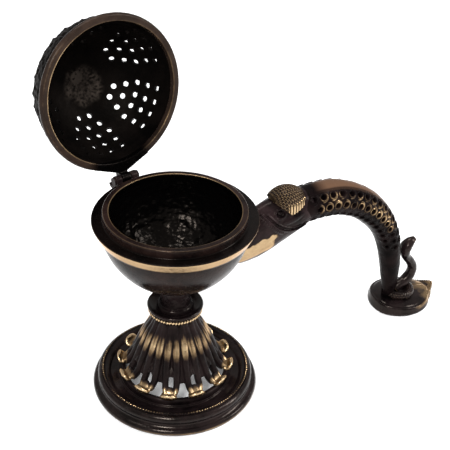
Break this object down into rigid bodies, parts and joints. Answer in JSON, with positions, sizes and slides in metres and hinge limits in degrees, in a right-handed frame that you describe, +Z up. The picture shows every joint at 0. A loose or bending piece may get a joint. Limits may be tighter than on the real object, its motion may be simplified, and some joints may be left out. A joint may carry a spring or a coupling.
{
  "type": "incense burner",
  "caption": "Footed dhoop burner: bowl on a pierced lotus pedestal, hinged pierced dome lid, and an arched makara handle that ends in a leaf foot.",
  "frame": {"origin": "on the floor, on the axis of the round base, at the plane of its foot ring", "axes": "+Z up, +X from the base's axis along the handle to the leaf foot; the lid's hinge is at the back, 97.2 degrees from +X towards +Y"},
  "size_m": [0.2486, 0.165, 0.2075],
  "materials": {
    "base_brass": "dark chemical patina, satin, worn on the edges",
    "bead_brass": "patinated brass rubbed bright on the crowns",
    "pedestal_brass": "dark patina, rubbed gold on the shoulder and petal tips",
    "neck_brass": "dark patina, satin",
    "bowl_brass": "dark patina with a polished bevelled band",
    "hinge_brass": "dark patina, lightly worn",
    "handle_brass": "dark patina, red-brown along the back",
    "head_brass": "dark patina, polished along the jaw",
    "crest_brass": "patinated brass rubbed gold on the ribs",
    "foot_brass": "dark patina, rubbed at the edge and tip",
    "lid_ring_brass": "bronze-brown patina, satin",
    "lid_dome_brass": "near-black patina, rough cast",
    "fastener_steel": "dull zinc-plated steel"
  },
  "bodies": {
    "burner": {"base_plate": "base_brass", "base_bead_ring": "bead_brass", "lotus_pedestal": "pedestal_brass", "knop_collar": "neck_brass", "knop_rope_ring": "bead_brass", "neck_spool": "neck_brass", "neck_ring": "neck_brass", "tie_bolt": "fastener_steel", "tie_washer": "fastener_steel", "tie_nut": "fastener_steel", "bowl": "bowl_brass", "hinge_bracket": "hinge_brass", "hinge_pin": "hinge_brass", "makara_head": "head_brass", "head_crest": "crest_brass", "makara_eyes": "head_brass", "handle_body": "handle_brass", "leaf_foot": "foot_brass", "snake_coil": "foot_brass", "cobra": "foot_brass", "foot_screw": "fastener_steel"},
    "lid": {"lid_rim_ring": "lid_ring_brass", "lid_dome": "lid_dome_brass", "lid_finial": "lid_dome_brass", "finial_rove": "lid_dome_brass"}
  },
  "joints": [
    {"name": "lid_hinge", "type": "hinge", "parent": "burner", "child": "lid", "pos_m": [-0.00622, 0.04921, 0.1155], "axis": [-0.9921, -0.1253, 0], "range_deg": [-99.7, 0]}
  ]
}
